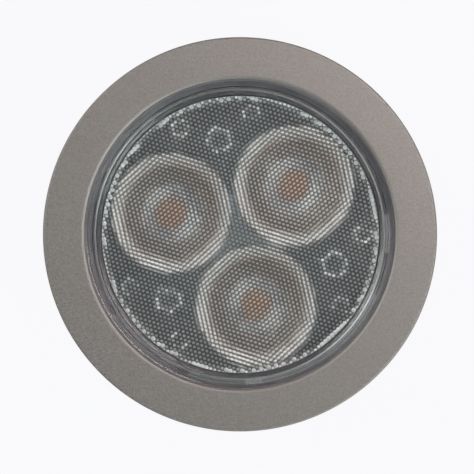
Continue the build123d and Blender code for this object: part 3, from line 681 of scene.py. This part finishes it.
    levels = [(R_ARR, z_valley - 0.03), (R_OPTIC, z_valley - 0.09),
              (R_OPTIC, Z_PLATE + 0.26), (R_OPTIC - 0.1, Z_PLATE + 0.12), (R_FOOT_OUT, Z_PLATE + 0.10), (R_FOOT_IN, Z_PLATE)]
    m = len(loop)
    for r, z in levels:
        cur = ring_at(r, z)
        for q in range(m):
            q2 = (q + 1) % m
            faces.append((prev[q], cur[q], cur[q2], prev[q2]))
        prev = cur
    outer = prev
    n_rim_faces = len(faces)
    facet = (n_rim_faces - m, n_rim_faces)
    frosted = []
    # underside: a plane with round holes where the cells, legs and pads start
    wall = collimator_wall()
    hc = Z_PLATE - Z_LED
    wall = [p for p in wall if p[1] < hc - 0.05]
    slope = (wall[-1][0] - wall[-6][0]) / (wall[-1][1] - wall[-6][1])
    r_top = wall[-1][0] + slope * (hc - wall[-1][1])
    r_top = R_FOOT + (r_top - R_FOOT) * K_WALL
    wall = [(R_FOOT + (r - R_FOOT) * K_WALL, h) for r, h in wall]
    print("optic: cell mouth radius", round(r_top, 2))
    keep = [wall[i] for i in range(0, len(wall), 8)]
    if keep[-1] != wall[-1]:
        keep.append(wall[-1])
    SEG = 120
    holes, hole_loops = [], []

    def circle(cx, cy, r, z, seg):
        ids = []
        for k in range(seg):
            a = 2 * math.pi * k / seg
            ids.append(len(verts))
            verts.append((cx + r * math.cos(a), cy + r * math.sin(a), z))
        return ids

    def skin(a, b):
        s = len(a)
        for k in range(s):
            k2 = (k + 1) % s
            faces.append((a[k], a[k2], b[k2], b[k]))

    for az in AZ_CELLS:
        cx, cy = polar(R_CELLS, az)
        top = circle(cx, cy, r_top, Z_PLATE, SEG)
        holes.append((cx, cy, r_top * math.cos(math.pi / SEG)))
        hole_loops.append(top)
        prev = top
        for r, h in reversed(keep):
            cur = circle(cx, cy, r, Z_LED + h, SEG)
            if h > hc - FROST:
                frosted.append((len(faces), len(faces) + SEG))
            skin(prev, cur)
            prev = cur
        for k in range(7):
            t = k / 6.0
            cur = circle(cx, cy, R_CAVITY, Z_LED + lens_height(R_CAVITY) * t, SEG)
            if k == 0:
                frosted.append((len(faces), len(faces) + SEG))
            skin(prev, cur)
            prev = cur
        for k in range(11, 0, -1):
            r = R_CAVITY * k / 12.0
            cur = circle(cx, cy, r, Z_LED + lens_height(r), SEG)
            skin(prev, cur)
            prev = cur
        pole = len(verts)
        verts.append((cx, cy, Z_LED + H_LENS))
        for k in range(SEG):
            faces.append((prev[k], prev[(k + 1) % SEG], pole))

    def leg(x, y, r, z_end, flare, seg=40):
        top = circle(x, y, r + flare, Z_PLATE, seg)
        holes.append((x, y, (r + flare) * math.cos(math.pi / seg)))
        hole_loops.append(top)
        p = top
        for rr, zz in ((r, Z_PLATE - 0.4), (r, z_end + 0.15), (r - 0.15, z_end)):
            if zz < Z_PLATE - 0.4 and zz > z_end and z_end > Z_PLATE - 1.0:
                continue
            c = circle(x, y, rr, zz, seg)
            if p is top:
                frosted.append((len(faces), len(faces) + seg))
            skin(p, c)
            p = c
        pole = len(verts)
        verts.append((x, y, z_end))
        for k in range(seg):
            faces.append((p[k], p[(k + 1) % seg], pole))

    for az in AZ_POST:
        leg(*polar(R_POST, az), 1.62, Z_BOARD + 0.005, 0.36)
        leg(*polar(R_SMALL, az - A_SMALL), 1.05, Z_BOARD + 0.005, 0.24)
        leg(*polar(R_SMALL, az + A_SMALL), 1.10, Z_PLATE - 0.45, 0.24)
    # triangulate the underside
    ids = outer + [v for l in hole_loops for v in l]
    pos = {v: k for k, v in enumerate(ids)}
    edges = []
    for l in [outer] + hole_loops:
        edges += [(pos[l[k]], pos[l[(k + 1) % len(l)]]) for k in range(len(l))]
    res = delaunay_2d_cdt([Vector((verts[v][0], verts[v][1])) for v in ids], edges, [], 1, 1e-6)
    co, _, tri, orig = res[0], res[1], res[2], res[3]
    back = [ids[o[0]] for o in orig]
    for t in tri:
        gx, gy = sum(co[q].x for q in t) / 3, sum(co[q].y for q in t) / 3
        if any(math.hypot(gx - hx, gy - hy) < hr - 1e-5 for hx, hy, hr in holes):
            continue
        if math.hypot(gx, gy) > R_FOOT_IN:
            continue
        faces.append(tuple(back[q] for q in t))
    me = bpy.data.meshes.new("optic_microlens")
    me.from_pydata([((x + X_OPTIC) * MM, (y + Y_OPTIC) * MM, z * MM) for x, y, z in verts], [], faces)
    for mat in (M_ACRYLIC, M_FRONT, M_RIM, M_VALLEY_PAINTED_SHADE, M_FACET, M_CELL_VALLEY_PAINTED_SHADE, M_MID_VALLEY_PAINTED_SHADE, M_MIX_PAINTED_LIGHT, M_MIX_PAINTED_SHADE):
        me.materials.append(mat)
    index = kinds + [2] * (n_rim_faces - n_top_faces) + [0] * (len(faces) - n_rim_faces)
    for a, b in frosted:
        index[a:b] = [2] * (b - a)
    index[facet[0]:facet[1]] = [4] * m
    me.polygons.foreach_set("material_index", index)
    ob = bpy.data.objects.new("optic_microlens", me)
    bpy.context.scene.collection.objects.link(ob)
    bm = bmesh.new()
    bm.from_mesh(me)
    bmesh.ops.remove_doubles(bm, verts=bm.verts, dist=2e-7)
    bmesh.ops.recalc_face_normals(bm, faces=bm.faces)
    open_edges = sum(1 for e in bm.edges if len(e.link_faces) != 2)
    for f in bm.faces:
        f.smooth = True
    for e in bm.edges:
        if len(e.link_faces) == 2 and e.calc_face_angle(0.0) > math.radians(27):
            e.smooth = False
    vol = bm.calc_volume(signed=True)
    bm.to_mesh(me)
    bm.free()
    print("optic: faces", len(me.polygons), "open edges", open_edges, "volume mm3", round(vol * 1e9))
    return ob


optic = build_optic()
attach(optic, "lamp")
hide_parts("lens_array")

# ================================================================ light-source domes
dome_v, dome_f = [], []
for az in AZ_CELLS:
    cx, cy = polar(R_CELLS, az)
    pts = [(0.0, Z_LED + 0.012)] + [(1.34, Z_LED + 0.012)] + [(1.35 * math.cos(math.radians(a)), Z_LED + 0.012 + 1.35 * math.sin(math.radians(a))) for a in range(6, 90, 6)] + [(0.0, Z_LED + 1.362)]
    v, f = lathe_data(pts, 48)
    off = len(dome_v)
    dome_v += [(x + cx, y + cy, z) for x, y, z in v]
    dome_f += [tuple(q + off for q in face) for face in f]
domes = set_mat(new_object("source_domes", dome_v, dome_f, 40), M_DOME)
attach(domes, "lamp")
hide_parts("led_domes")

# ================================================================ floor, lights
FLOOR_Z = CAD_BOX[0][2] - 0.0001
me = bpy.data.meshes.new("floor")
s = 3.0
me.from_pydata([(-s, -s, FLOOR_Z), (s, -s, FLOOR_Z), (s, s, FLOOR_Z), (-s, s, FLOOR_Z)], [], [(0, 1, 2, 3)])
floor = bpy.data.objects.new("floor", me)
bpy.context.scene.collection.objects.link(floor)
m = Mat("floor_paper")
m.principled(Roughness=0.9, Base_Color=(0.03, 0.03, 0.03, 1), Emission_Color=(0.926, 0.926, 0.944, 1), Emission_Strength=1.0,
             Specular_IOR_Level=0.1)
floor.data.materials.append(m.m)


def area(name, loc, size, power, color=(1, 1, 1), target=(0, 0, 0), size_y=None):
    d = bpy.data.lights.new(name, "AREA")
    d.shape = "RECTANGLE"
    d.size = size
    d.size_y = size_y or size
    d.energy = power
    d.color = color
    o = bpy.data.objects.new(name, d)
    bpy.context.scene.collection.objects.link(o)
    o.location = loc
    o.rotation_euler = (Vector(target) - Vector(loc)).to_track_quat("-Z", "Y").to_euler()
    return o


def soft(name, az, tilt, dist, size, irr, color=(1, 1, 1), width=None):
    """A softbox that faces the lamp, width measured round it; irr is what it gives on a surface facing it."""
    a, t = math.radians(az), math.radians(tilt)
    loc = (dist * math.sin(t) * math.cos(a), dist * math.sin(t) * math.sin(a), dist * math.cos(t))
    return area(name, loc, width or size, irr * math.pi * dist ** 2, color, size_y=size)


soft("key_upper_right", 42, 26, 0.24, 0.075, 1.08, (1.0, 0.860, 0.845), 0.12)
soft("fill_left", 156, 37, 0.9, 0.11, 0.81, (0.975, 0.985, 0.965), 0.36)
soft("fill_right", 322, 37, 0.9, 0.11, 0.84, (0.91, 1.0, 0.98), 0.36)
soft("side_left", 215, 55, 0.7, 0.20, 0.12, (0.97, 0.98, 1.0), 0.62)
soft("side_right", 0, 60, 0.7, 0.16, 0.10, (0.97, 0.98, 1.0))
soft("side_front", 262, 55, 0.7, 0.20, 0.13, (0.86, 1.0, 0.91), 0.30)
soft("panel_lower_right", 302, 56, 0.8, 0.26, 0.60, (0.93, 1.0, 0.98), 0.80)

world = bpy.data.worlds.new("studio")
bpy.context.scene.world = world
world.use_nodes = True
wt = world.node_tree
wt.nodes.clear()
wo = wt.nodes.new("ShaderNodeOutputWorld")
bg = wt.nodes.new("ShaderNodeBackground")
bg.inputs["Strength"].default_value = 1.0
tc = wt.nodes.new("ShaderNodeTexCoord")
sep = wt.nodes.new("ShaderNodeSeparateXYZ")
up = wt.nodes.new("ShaderNodeValToRGB")
up.color_ramp.elements[0].position = 0.10
up.color_ramp.elements[0].color = (0.50, 0.505, 0.53, 1)
up.color_ramp.elements[1].position = 0.80
up.color_ramp.elements[1].color = (0.078, 0.085, 0.092, 1)
wt.links.new(tc.outputs["Generated"], sep.inputs[0])
wt.links.new(sep.outputs["Z"], up.inputs["Fac"])
wt.links.new(up.outputs["Color"], bg.inputs["Color"])
backdrop = wt.nodes.new("ShaderNodeBackground")
backdrop.inputs["Color"].default_value = (0.95, 0.95, 0.967, 1)
path = wt.nodes.new("ShaderNodeLightPath")
pick = wt.nodes.new("ShaderNodeMixShader")
wt.links.new(path.outputs["Is Camera Ray"], pick.inputs[0])
wt.links.new(bg.outputs[0], pick.inputs[1])
wt.links.new(backdrop.outputs[0], pick.inputs[2])
wt.links.new(pick.outputs[0], wo.inputs[0])

sc = bpy.context.scene
sc.view_settings.view_transform = "Standard"
sc.view_settings.look = "None"
sc.view_settings.exposure = 0.0
sc.view_settings.gamma = 1.0
sc.cycles.max_bounces = 24
sc.cycles.transmission_bounces = 24
sc.cycles.glossy_bounces = 12
sc.cycles.diffuse_bounces = 4
sc.cycles.transparent_max_bounces = 24
sc.cycles.caustics_refractive = True
sc.cycles.caustics_reflective = True
sc.cycles.blur_glossy = 0.3
sc.cycles.sample_clamp_indirect = 6.0
sc.cycles.use_denoising = True
sc.cycles.seed = 7
